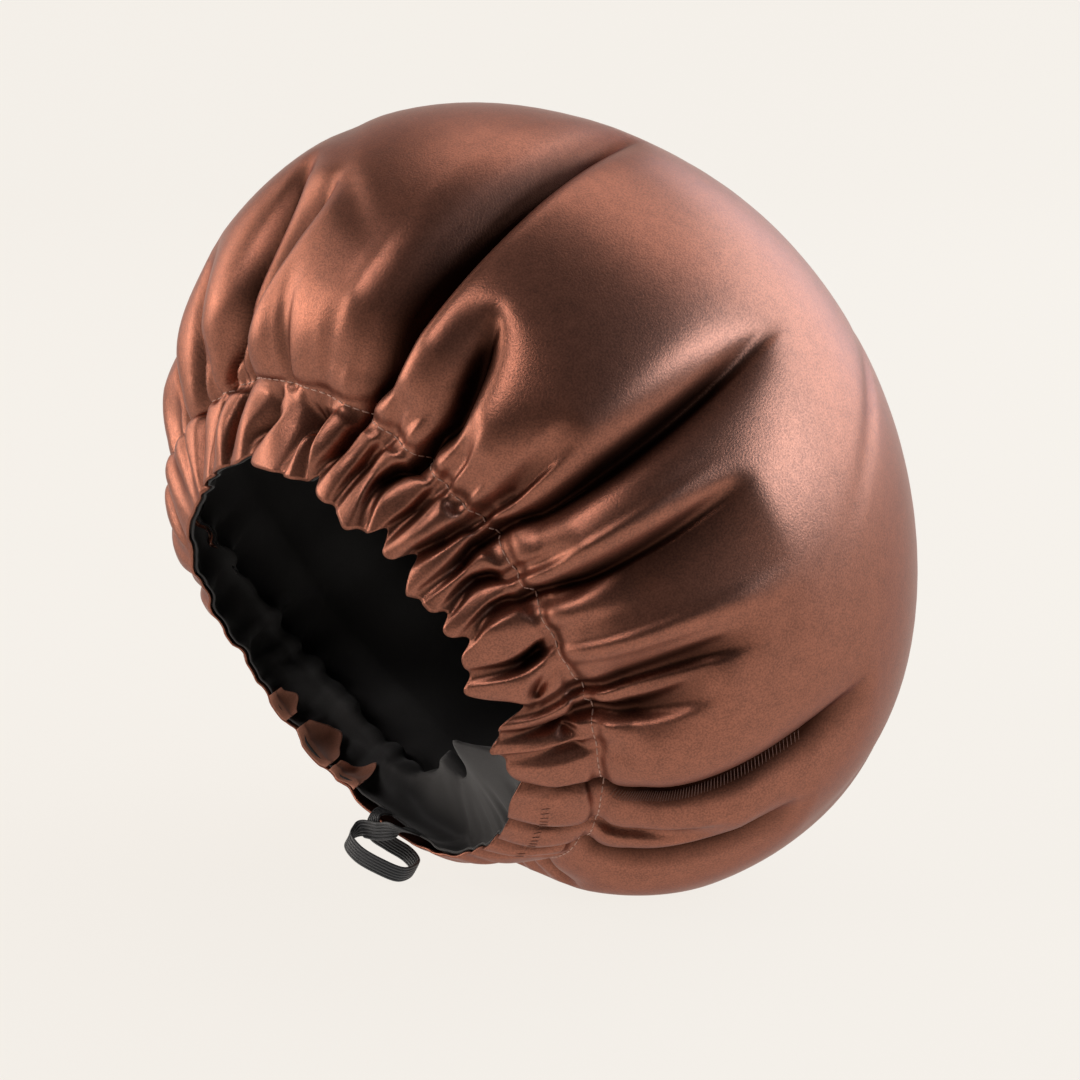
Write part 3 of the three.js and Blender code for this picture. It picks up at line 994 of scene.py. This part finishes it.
@dataclass
class ElasticBand:
    """The flat ribbed elastic that hangs out of the casing in a loop."""

    width: float = 7.0
    thick: float = 1.4
    ribs: int = 6
    rib_height: float = 0.75
    edge_power: float = 0.35
    curve_steps: int = 3000
    steps: int = 260
    across: int = 65
    hanging_lay: Triple = (0.445, 0.187, 0.875)
    lying_lay: Triple = (0.96, 0.12, -0.25)
    twist_share: float = 0.14
    twist_start: float = 0.3
    end_shade: float = 0.5

    def centreline(self) -> Array:
        """Evenly spaced points on a centripetal Catmull-Rom curve through the route.

        Returns:
            Points in millimetres.
        """
        p = np.array(BAND_ROUTE_MM)
        p = np.concatenate([[2 * p[0] - p[1]], p, [2 * p[-1] - p[-2]]])
        gaps = np.sqrt(np.linalg.norm(np.diff(p, axis=0), axis=1))
        knots = np.concatenate([[0.0], np.cumsum(gaps)])
        u = np.linspace(knots[1], knots[-2], self.curve_steps, endpoint=False)
        i = np.searchsorted(knots, u, side="right") - 1
        t = [knots[i + k] for k in (-1, 0, 1, 2)]
        q = [p[i + k] for k in (-1, 0, 1, 2)]

        def blend(a: Array, b: Array, ta: Array, tb: Array) -> Array:
            """The point between a and b where the curve's own time is u."""
            return ((tb - u) / (tb - ta))[:, None] * a + ((u - ta) / (tb - ta))[:, None] * b

        a = [blend(q[k], q[k + 1], t[k], t[k + 1]) for k in range(3)]
        b = [blend(a[k], a[k + 1], t[k], t[k + 2]) for k in range(2)]
        line = blend(b[0], b[1], t[1], t[2])
        run = lengths(line)
        return along_line(np.linspace(0.0, run[-1], self.steps), run, line)

    def grooves(self, across: Array) -> Array:
        """How far a place across the width lies in a groove between ribs, from 0 to 1."""
        return 1 - np.abs(np.sin(across / self.width * np.pi * self.ribs))

    def profile(self) -> Array:
        """The band's closed cross-section: two ribbed faces joined at rounded edges.

        Returns:
            Points across the width and the thickness.
        """
        a = np.linspace(0.0, 2 * np.pi, 2 * self.across, endpoint=False)
        wide = np.cos(a) * self.width / 2
        side = np.sign(np.sin(a)) * np.abs(np.sin(a)) ** self.edge_power
        ribbed = 1.0 - self.rib_height * self.grooves(wide)
        return np.stack([wide, side * ribbed * self.thick / 2], -1)

    def build(self, material: bpy.types.Material) -> bpy.types.Object:
        """Sweeps the ribbed section along the route, flat in the casing and on edge outside.

        Args:
            material: The elastic.

        Returns:
            The dressed piece.
        """
        line = self.centreline()
        along = unit(np.gradient(line, axis=0))
        share = np.arange(self.steps) / (self.steps - 1)
        from_end = np.minimum(share, 1 - share)
        hang = ease(from_end / self.twist_share - self.twist_start)[:, None]
        lay = np.array(self.lying_lay) * (1 - hang) + np.array(self.hanging_lay) * hang
        thick = unit(np.cross(along, lay))
        wide = np.cross(thick, along)
        section = self.profile()
        rings = (
            line[:, None, :]
            + wide[:, None, :] * section[None, :, :1]
            + thick[:, None, :] * section[None, :, 1:]
        )
        n = len(section)
        points = np.concatenate([rings.reshape(-1, 3), line[:1], line[-1:]])
        tip = self.steps * n
        caps = np.concatenate([ring_fan(0, n, tip), ring_fan(tip - n, n, tip + 1, flip=True)])
        parts = MeshParts(points, ring_quads(0, self.steps, n), caps)
        piece = mesh_object("elastic_band", parts, material)
        # Painted shade: the grooves between the ribs darken towards the crease colour, the two end
        # tips by half.
        shares = np.tile(self.grooves(section[:, 0]), self.steps)
        set_crease_shade(piece, np.append(shares, [self.end_shade] * 2))
        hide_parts("elastic_loop")
        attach(piece, "root")
        return piece


@dataclass
class ThreadLine:
    """A row of short straight stitches lying on the satin."""

    form: BonnetForm
    stitch_length: float = 2.6
    stitch_gap: float = 0.7
    thread: float = 0.28
    sides: int = 6
    rings: int = 5
    ring_ends: Span = (0.02, 0.98)
    bluntness: float = 0.25
    lift: float = 0.12
    above: float = 1.0
    samples: int = 6000

    def capsules(self, start: Array, end: Array, up: Array) -> MeshParts:
        """One rounded stick per stitch, all in one mesh.

        A stick's radius follows a parabola over its length, raised to a small power, so that it
        has blunt round ends.

        Args:
            start: Start points of the stitches.
            end: End points of the stitches.
            up: Outward directions at the stitches.

        Returns:
            All sticks.
        """
        along = end - start
        side = unit(np.cross(along, up))
        over = unit(np.cross(side, along))
        t = np.linspace(*self.ring_ends, self.rings)
        swell = (4 * t * (1 - t)) ** self.bluntness * self.thread
        a = np.arange(self.sides) / self.sides * 2 * np.pi
        centre = start[:, None, :] + along[:, None, :] * t[None, :, None]
        ring = side[:, None, None, :] * np.cos(a)[None, None, :, None]
        ring = ring + over[:, None, None, :] * np.sin(a)[None, None, :, None]
        points = centre[:, :, None, :] + ring * swell[None, :, None, None]
        n, tip = self.sides, self.rings * self.sides
        body = points.reshape(len(start), -1, 3)
        tips = np.stack([start, end], axis=1)
        shift = np.arange(len(start))[:, None, None] * (tip + 2)
        quads = ring_quads(0, self.rings, n)[None] + shift
        fans = np.concatenate([ring_fan(0, n, tip), ring_fan(tip - n, n, tip + 1, flip=True)])
        fans = fans[None] + shift
        return MeshParts(
            np.concatenate([body, tips], axis=1).reshape(-1, 3),
            quads.reshape(-1, 4),
            fans.reshape(-1, 3),
        )

    def build(self, material: bpy.types.Material) -> bpy.types.Object:
        """Lays stitches round the stitch line by equal steps of length.

        Args:
            material: The thread.

        Returns:
            The dressed piece.
        """
        angle = np.linspace(0.0, 360.0, self.samples)
        station = np.zeros_like(angle)
        line = self.form.cloth(angle, station, -self.lift, Layer.SATIN)
        above = self.form.cloth(angle, station, -self.above, Layer.SATIN)
        run = lengths(line)
        pitch = self.stitch_length + self.stitch_gap
        begin = np.arange(int(run[-1] / pitch)) * pitch
        start = along_line(begin, run, line)
        end = along_line(begin + self.stitch_length, run, line)
        parts = self.capsules(start, end, along_line(begin, run, above) - start)
        piece = mesh_object("stitch_thread", parts, material)
        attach(piece, "root")
        return piece


class StitchRun(NamedTuple):
    """A run of short cross stitches between two places on the satin."""

    from_deg: float
    from_station: float
    to_deg: float
    to_station: float
    bow_deg: float
    stitches: int
    across_deg: float
    along: float


SEAM_RUNS = (StitchRun(-31.2, 0.01, -23.6, 0.36, -0.8, 62, 1.5, 0.004),)
CASING_RUNS = (StitchRun(-62.0, -0.62, -34.0, -0.62, 0.0, 24, 0.35, 0.10),)


@dataclass
class CrossStitches(ThreadLine):
    """Runs of stitches that cross their path, as on an overlocked seam or a casing seam."""

    name: str = "cross_stitches"
    runs: tuple[StitchRun, ...] = SEAM_RUNS
    thread: float = 0.15

    def build(self, material: bpy.types.Material) -> bpy.types.Object:
        """Lays each run's stitches across its path at even steps.

        Args:
            material: The thread.

        Returns:
            The dressed piece.
        """
        starts, ends, ups = [], [], []
        for r in self.runs:
            t = np.linspace(0.0, 1.0, r.stitches)
            angle = r.from_deg + (r.to_deg - r.from_deg) * t + r.bow_deg * 4 * t * (1 - t)
            station = r.from_station + (r.to_station - r.from_station) * t
            low = (angle - r.across_deg / 2, station - r.along / 2)
            high = (angle + r.across_deg / 2, station + r.along / 2)
            starts.append(self.form.cloth(*low, -self.lift, Layer.SATIN))
            ends.append(self.form.cloth(*high, -self.lift, Layer.SATIN))
            ups.append(self.form.cloth(*low, -self.above, Layer.SATIN) - starts[-1])
        parts = self.capsules(*(np.concatenate(p) for p in (starts, ends, ups)))
        piece = mesh_object(self.name, parts, material)
        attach(piece, "root")
        return piece


def set_inputs(node: bpy.types.Node, values: Inputs) -> None:
    """Puts fixed values on a node's input sockets, by name or number."""
    for key, value in values.items():
        node.inputs[key].default_value = value


def add_node(
    tree: bpy.types.NodeTree, kind: str, values: Inputs, **settings: str | bool
) -> bpy.types.Node:
    """Adds a shader node.

    Args:
        tree: The tree it joins.
        kind: Its type, without the common first word.
        values: Fixed values of its inputs.
        settings: Its own settings, such as an operation.

    Returns:
        The node.
    """
    node = tree.nodes.new("ShaderNode" + kind)
    for key, value in settings.items():
        setattr(node, key, value)
    set_inputs(node, values)
    return node


@dataclass(frozen=True)
class WeaveGroup:
    """Fine satin weave as a height and a shade, from object coordinates."""

    name: str = "satin_weave"
    scale: float = 2500.0
    fine_detail: float = 2.0
    broad_scale: float = 180.0
    broad_detail: float = 3.0
    grain: Span = (0.35, 0.65)
    fine_share: float = 0.5
    broad_share: float = 0.5

    def build(self) -> bpy.types.ShaderNodeTree:
        """Makes the group once.

        Returns:
            The node group with Scale in, and Height and Shade out.
        """
        tree = bpy.data.node_groups.new(self.name, "ShaderNodeTree")
        scale = tree.interface.new_socket("Scale", in_out="INPUT", socket_type="NodeSocketFloat")
        scale.default_value = self.scale
        for name in ("Height", "Shade"):
            tree.interface.new_socket(name, in_out="OUTPUT", socket_type="NodeSocketFloat")
        start = tree.nodes.new("NodeGroupInput")
        end = tree.nodes.new("NodeGroupOutput")
        place = add_node(tree, "TexCoord", {})
        fine = add_node(tree, "TexNoise", {"Detail": self.fine_detail})
        broad = add_node(tree, "TexNoise", {"Scale": self.broad_scale, "Detail": self.broad_detail})
        low, high = self.grain
        grain = add_node(tree, "MapRange", {"From Min": low, "From Max": high})
        part = add_node(tree, "Math", {1: self.broad_share}, operation="MULTIPLY")
        both = add_node(tree, "Math", {1: self.fine_share}, operation="MULTIPLY_ADD")
        links = tree.links
        for noise in (fine, broad):
            links.new(place.outputs["Object"], noise.inputs["Vector"])
        links.new(start.outputs["Scale"], fine.inputs["Scale"])
        links.new(fine.outputs["Fac"], end.inputs["Height"])
        links.new(broad.outputs["Fac"], part.inputs[0])
        links.new(fine.outputs["Fac"], grain.inputs["Value"])
        links.new(grain.outputs["Result"], both.inputs[0])
        links.new(part.outputs["Value"], both.inputs[2])
        links.new(both.outputs["Value"], end.inputs["Shade"])
        return tree


@dataclass(frozen=True)
class ClothFinish:
    """A cloth material: a varied base colour, soft gloss, sheen, a fine weave and, if given,
    painted crease shade.
    """

    name: str
    dark: Triple
    light: Triple
    roughness: float
    metallic: float
    sheen: float
    specular: float
    bump: float
    scale: float
    edge: Triple = (1.0, 1.0, 1.0)
    coat: float = 0.0
    # Colour of the painted shade in each crease; the coat also fades there.
    crease: Triple | None = None
    sheen_roughness: float = 0.4
    coat_roughness: float = 0.42
    coat_ior: float = 1.6
    bump_distance: float = 0.0004

    def build(self, weave: bpy.types.ShaderNodeTree) -> bpy.types.Material:
        """Makes the material.

        Args:
            weave: The shared weave group.

        Returns:
            The material.
        """
        material = bpy.data.materials.new(self.name)
        material.use_nodes = True
        tree = material.node_tree
        links = tree.links
        shader = tree.nodes["Principled BSDF"]
        fixed = {
            "Roughness": self.roughness,
            "Metallic": self.metallic,
            "Sheen Weight": self.sheen,
            "Sheen Roughness": self.sheen_roughness,
            "Specular IOR Level": self.specular,
            "Specular Tint": (*self.edge, 1.0),
            "Coat Weight": self.coat,
            "Coat Roughness": self.coat_roughness,
            "Coat IOR": self.coat_ior,
        }
        set_inputs(shader, fixed)
        group = tree.nodes.new("ShaderNodeGroup")
        group.node_tree = weave
        group.inputs["Scale"].default_value = self.scale
        colours = {"A": (*self.dark, 1.0), "B": (*self.light, 1.0)}
        tint = add_node(tree, "Mix", colours, data_type="RGBA")
        relief = {"Strength": self.bump, "Distance": self.bump_distance}
        bump = add_node(tree, "Bump", relief)
        links.new(group.outputs["Shade"], tint.inputs["Factor"])
        if self.crease is None:
            links.new(tint.outputs["Result"], shader.inputs["Base Color"])
        else:
            # Painted shade: the stored crease share mixes the base colour towards the crease colour
            # and fades the coat.
            inside = add_node(tree, "Attribute", {}, attribute_name=CREASE_SHADE)
            shaded = add_node(tree, "Mix", {"B": (*self.crease, 1.0)}, data_type="RGBA")
            fade = {1: -self.coat, 2: self.coat}
            gloss = add_node(tree, "Math", fade, operation="MULTIPLY_ADD", use_clamp=True)
            links.new(inside.outputs["Fac"], gloss.inputs[0])
            links.new(gloss.outputs["Value"], shader.inputs["Coat Weight"])
            links.new(inside.outputs["Fac"], shaded.inputs["Factor"])
            links.new(tint.outputs["Result"], shaded.inputs["A"])
            links.new(shaded.outputs["Result"], shader.inputs["Base Color"])
        links.new(group.outputs["Height"], bump.inputs["Height"])
        links.new(bump.outputs["Normal"], shader.inputs["Normal"])
        return material


class Panel(NamedTuple):
    """A soft light panel that faces the bonnet, placed and sized in metres."""

    name: str
    place: Triple
    size: tuple[float, float]
    watts: float
    colour: Triple


PANELS = (
    Panel("back_panel", (0.7, 1.9, 1.15), (5.6, 1.7), 128.0, (0.62, 0.83, 1.0)),
    Panel("right_panel", (2.0, 0.95, 0.85), (1.3, 0.8), 13.0, (0.62, 0.83, 1.0)),
    Panel("left_panel", (-1.8, -0.8, 0.8), (1.2, 1.0), 8.0, (1.0, 0.92, 0.84)),
    Panel("high_panel", (-0.4, 0.9, 2.3), (2.6, 1.5), 22.0, (1.0, 0.95, 0.92)),
    Panel("front_panel", (-1.3, -1.6, 0.4), (1.2, 0.7), 11.0, (1.0, 0.92, 0.84)),
    Panel("mouth_panel", (0.0, -1.5, 1.3), (0.8, 0.6), 9.0, (1.0, 0.96, 0.94)),
)


@dataclass
class Studio:
    """Pale floor, soft panels and the camera."""

    azimuth_deg: float = 53.0
    elevation_deg: float = 12.0
    lens_mm: float = 100.0
    sensor_mm: float = 36.0
    distance: float = 1.061
    clip: Span = (0.05, 50.0)
    aim_mm: Triple = (0.0, -108.0, 91.5)
    aim_pixel: tuple[float, float] = (350.0, 660.0)
    image_side: float = 1080.0
    floor_rings: Span = (0.02, 1.0)
    floor_radius: float = 2.6
    floor_turns: int = 96
    bend_radius: float = 0.5
    bend_steps: int = 16
    wall_height: float = 2.6
    wall_deg: float = 150.0
    wall_span: Span = (-0.2, 0.5)
    lit_place: Triple = (0.0, 0.0, 0.14)
    pale: Triple = (0.905, 0.863, 0.807)
    floor_share: float = 0.05
    floor_glow: float = 0.955
    glow_near: float = 0.32
    glow_far: float = 0.75
    glow_least: float = 0.15
    dim: float = 0.02

    def paled(self, share: float) -> tuple[float, ...]:
        """A share of the pale colour, opaque."""
        return (*(c * share for c in self.pale), 1.0)

    def camera(self) -> None:
        """Sets the camera so that the opening's centre lands on its place in the picture."""
        a, e = np.radians(self.azimuth_deg), np.radians(self.elevation_deg)
        back = Vector((np.sin(a) * np.cos(e), -np.cos(a) * np.cos(e), np.sin(e)))
        right = Vector((np.cos(a), np.sin(a), 0.0))
        up = back.cross(right)
        focal = self.lens_mm / self.sensor_mm * self.image_side
        shift_x = (self.aim_pixel[0] - self.image_side / 2) / focal * self.distance
        shift_y = (self.aim_pixel[1] - self.image_side / 2) / focal * self.distance
        data = bpy.data.cameras.new("camera")
        data.lens = self.lens_mm
        data.sensor_width = self.sensor_mm
        data.clip_start, data.clip_end = self.clip
        camera = bpy.data.objects.new("camera", data)
        aim = Vector(self.aim_mm) * MM
        place = aim + back * self.distance - right * shift_x + up * shift_y
        turned = Matrix((right, up, back)).transposed().to_4x4()
        camera.matrix_world = Matrix.Translation(place) @ turned
        bpy.context.scene.collection.objects.link(camera)
        bpy.context.scene.camera = camera

    def floor_material(self) -> bpy.types.Material:
        """Makes the floor's material, which is nearly dark and glows.

        The glow falls off towards the camera's side, where the cloth would mirror it. On camera
        rays it does not, so that the floor looks evenly pale in every view.

        Returns:
            The material.
        """
        material = bpy.data.materials.new("pale_sweep")
        material.use_nodes = True
        tree = material.node_tree
        shader = tree.nodes["Principled BSDF"]
        fixed = {
            "Base Color": self.paled(self.floor_share),
            "Roughness": 1.0,
            "Specular IOR Level": 0.0,
            "Emission Strength": self.floor_glow,
        }
        set_inputs(shader, fixed)
        a = np.radians(self.azimuth_deg)
        to_camera = {1: (np.sin(a), -np.cos(a), 0.0)}
        place = add_node(tree, "TexCoord", {})
        towards = add_node(tree, "VectorMath", to_camera, operation="DOT_PRODUCT")
        reach = {"From Min": self.glow_near, "From Max": self.glow_far}
        fall = add_node(tree, "MapRange", reach, interpolation_type="SMOOTHSTEP")
        ray = add_node(tree, "LightPath", {})
        unseen = add_node(tree, "Math", {}, operation="SUBTRACT", use_clamp=True)
        colours = {"A": self.paled(1.0), "B": self.paled(self.glow_least)}
        glow = add_node(tree, "Mix", colours, data_type="RGBA")
        links = tree.links
        links.new(place.outputs["Object"], towards.inputs[0])
        links.new(towards.outputs["Value"], fall.inputs["Value"])
        links.new(fall.outputs["Result"], unseen.inputs[0])
        links.new(ray.outputs["Is Camera Ray"], unseen.inputs[1])
        links.new(unseen.outputs["Value"], glow.inputs["Factor"])
        links.new(glow.outputs["Result"], shader.inputs["Emission Color"])
        return material

    def sweep(self) -> bpy.types.Object:
        """Makes the pale floor that curves up into a round wall.

        The section runs straight out to the bend, follows a quarter circle and goes straight up;
        it is turned about +Z, and the wall sinks away behind the camera.

        Returns:
            The sweep.
        """
        bend = np.linspace(0.0, np.pi / 2, self.bend_steps)
        out = self.floor_radius + self.bend_radius * np.sin(bend)
        out = np.concatenate([self.floor_rings, out, out[-1:]])
        up = self.bend_radius * (1 - np.cos(bend))
        up = np.concatenate([[0.0, 0.0], up, [self.wall_height]])
        n = self.floor_turns
        turns = np.arange(n) / n * 2 * np.pi
        ring = np.stack([np.cos(turns), np.sin(turns)], -1)
        tall = ramp(np.cos(turns - np.radians(self.wall_deg)), self.wall_span)
        rise = up[:, None, None] * tall[None, :, None]
        points = np.concatenate([out[:, None, None] * ring[None], rise], -1).reshape(-1, 3)
        quads = ring_quads(0, len(out), n)[:, ::-1]
        middle = ring_fan(0, n, len(points))
        points = np.concatenate([points, np.zeros((1, 3))]) / MM
        floor = mesh_object("floor", MeshParts(points, quads, middle), self.floor_material())
        return floor

    def panel(self, row: Panel) -> None:
        """Adds a soft panel that faces the bonnet.

        Args:
            row: The panel.
        """
        data = bpy.data.lights.new(row.name, "AREA")
        data.shape = "RECTANGLE"
        data.size, data.size_y = row.size
        data.energy = row.watts
        data.color = row.colour
        lamp = bpy.data.objects.new(row.name, data)
        lamp.location = row.place
        towards = Vector(self.lit_place) - Vector(row.place)
        lamp.rotation_euler = towards.to_track_quat("-Z", "Y").to_euler()
        bpy.context.scene.collection.objects.link(lamp)

    def surroundings(self) -> None:
        """Sets surroundings that are pale to the camera and dim to all else."""
        world = bpy.data.worlds.new("studio")
        world.use_nodes = True
        tree = world.node_tree
        ray = add_node(tree, "LightPath", {})
        colours = {"A": self.paled(self.dim), "B": self.paled(1.0)}
        seen = add_node(tree, "Mix", colours, data_type="RGBA")
        tree.links.new(ray.outputs["Is Camera Ray"], seen.inputs["Factor"])
        tree.links.new(seen.outputs["Result"], tree.nodes["Background"].inputs["Color"])
        bpy.context.scene.world = world
        bpy.context.scene.view_settings.view_transform = "Standard"

    def build(self) -> None:
        """Sets camera, floor, panels and surroundings."""
        self.camera()
        self.sweep()
        for row in PANELS:
            self.panel(row)
        self.surroundings()


SATIN = ClothFinish(
    "copper_satin",
    dark=(0.15, 0.048, 0.026),
    light=(0.41, 0.138, 0.078),
    roughness=0.36,
    metallic=0.85,
    sheen=0.0,
    specular=0.3,
    bump=0.25,
    scale=1500.0,
    edge=(0.45, 0.3, 0.26),
    coat=0.48,
    # Painted shade: near-black colour that the satin darkens to down in each crease.
    crease=(0.02, 0.006, 0.003),
)
LINING_CLOTH = ClothFinish(
    "black_lining",
    dark=(0.044, 0.042, 0.042),
    light=(0.058, 0.055, 0.055),
    roughness=0.65,
    metallic=0.0,
    sheen=0.12,
    specular=0.15,
    bump=0.15,
    scale=2600.0,
)
ELASTIC = ClothFinish(
    "ribbed_elastic",
    dark=(0.045, 0.046, 0.049),
    light=(0.06, 0.061, 0.064),
    roughness=0.5,
    metallic=0.0,
    sheen=0.2,
    specular=0.4,
    bump=0.2,
    scale=4000.0,
    # Painted shade in the grooves between the ribs.
    crease=(0.004, 0.004, 0.005),
)
THREAD = ClothFinish(
    "copper_thread", (0.50, 0.27, 0.20), (0.62, 0.37, 0.29), 0.5, 0.0, 0.2, 0.4, 0.1, 4000.0
)
SEAM_THREAD = ClothFinish(
    "seam_thread", (0.13, 0.05, 0.032), (0.20, 0.08, 0.052), 0.5, 0.2, 0.2, 0.4, 0.1, 4000.0
)
CASING_THREAD = ClothFinish(
    "casing_thread", (0.20, 0.075, 0.045), (0.28, 0.105, 0.065), 0.5, 0.3, 0.2, 0.4, 0.1, 4000.0
)
# Painted light: the turned-over lips are a lighter, less metallic copy of the satin so that they
# look lit.
SATIN_TURNED_LIT = ClothFinish(
    "turned_satin_painted_lit", (0.46, 0.19, 0.125), (0.62, 0.27, 0.18), 0.45, 0.25, 0.3, 0.3, 0.2, 1500.0
)


def main() -> None:
    """Builds the bonnet piece by piece and reports each one."""
    logging.basicConfig(level=logging.INFO, format="%(message)s")
    form = BonnetForm()
    weave = WeaveGroup().build()
    Studio().build()
    pieces = [
        ElasticBand().build(ELASTIC.build(weave)),
        SatinShell(form).build(SATIN.build(weave)),
        LiningBag(form).build(LINING_CLOTH.build(weave)),
        SatinFlaps(form).build(SATIN_TURNED_LIT.build(weave)),
        ThreadLine(form).build(THREAD.build(weave)),
        CrossStitches(form, name="overlock_stitches").build(SEAM_THREAD.build(weave)),
        CrossStitches(form, name="casing_stitches", runs=CASING_RUNS).build(
            CASING_THREAD.build(weave)
        ),
    ]
    for piece in pieces:
        LOG.info("%s: %d faces", piece.name, len(piece.data.polygons))


if __name__ == "__main__":
    main()
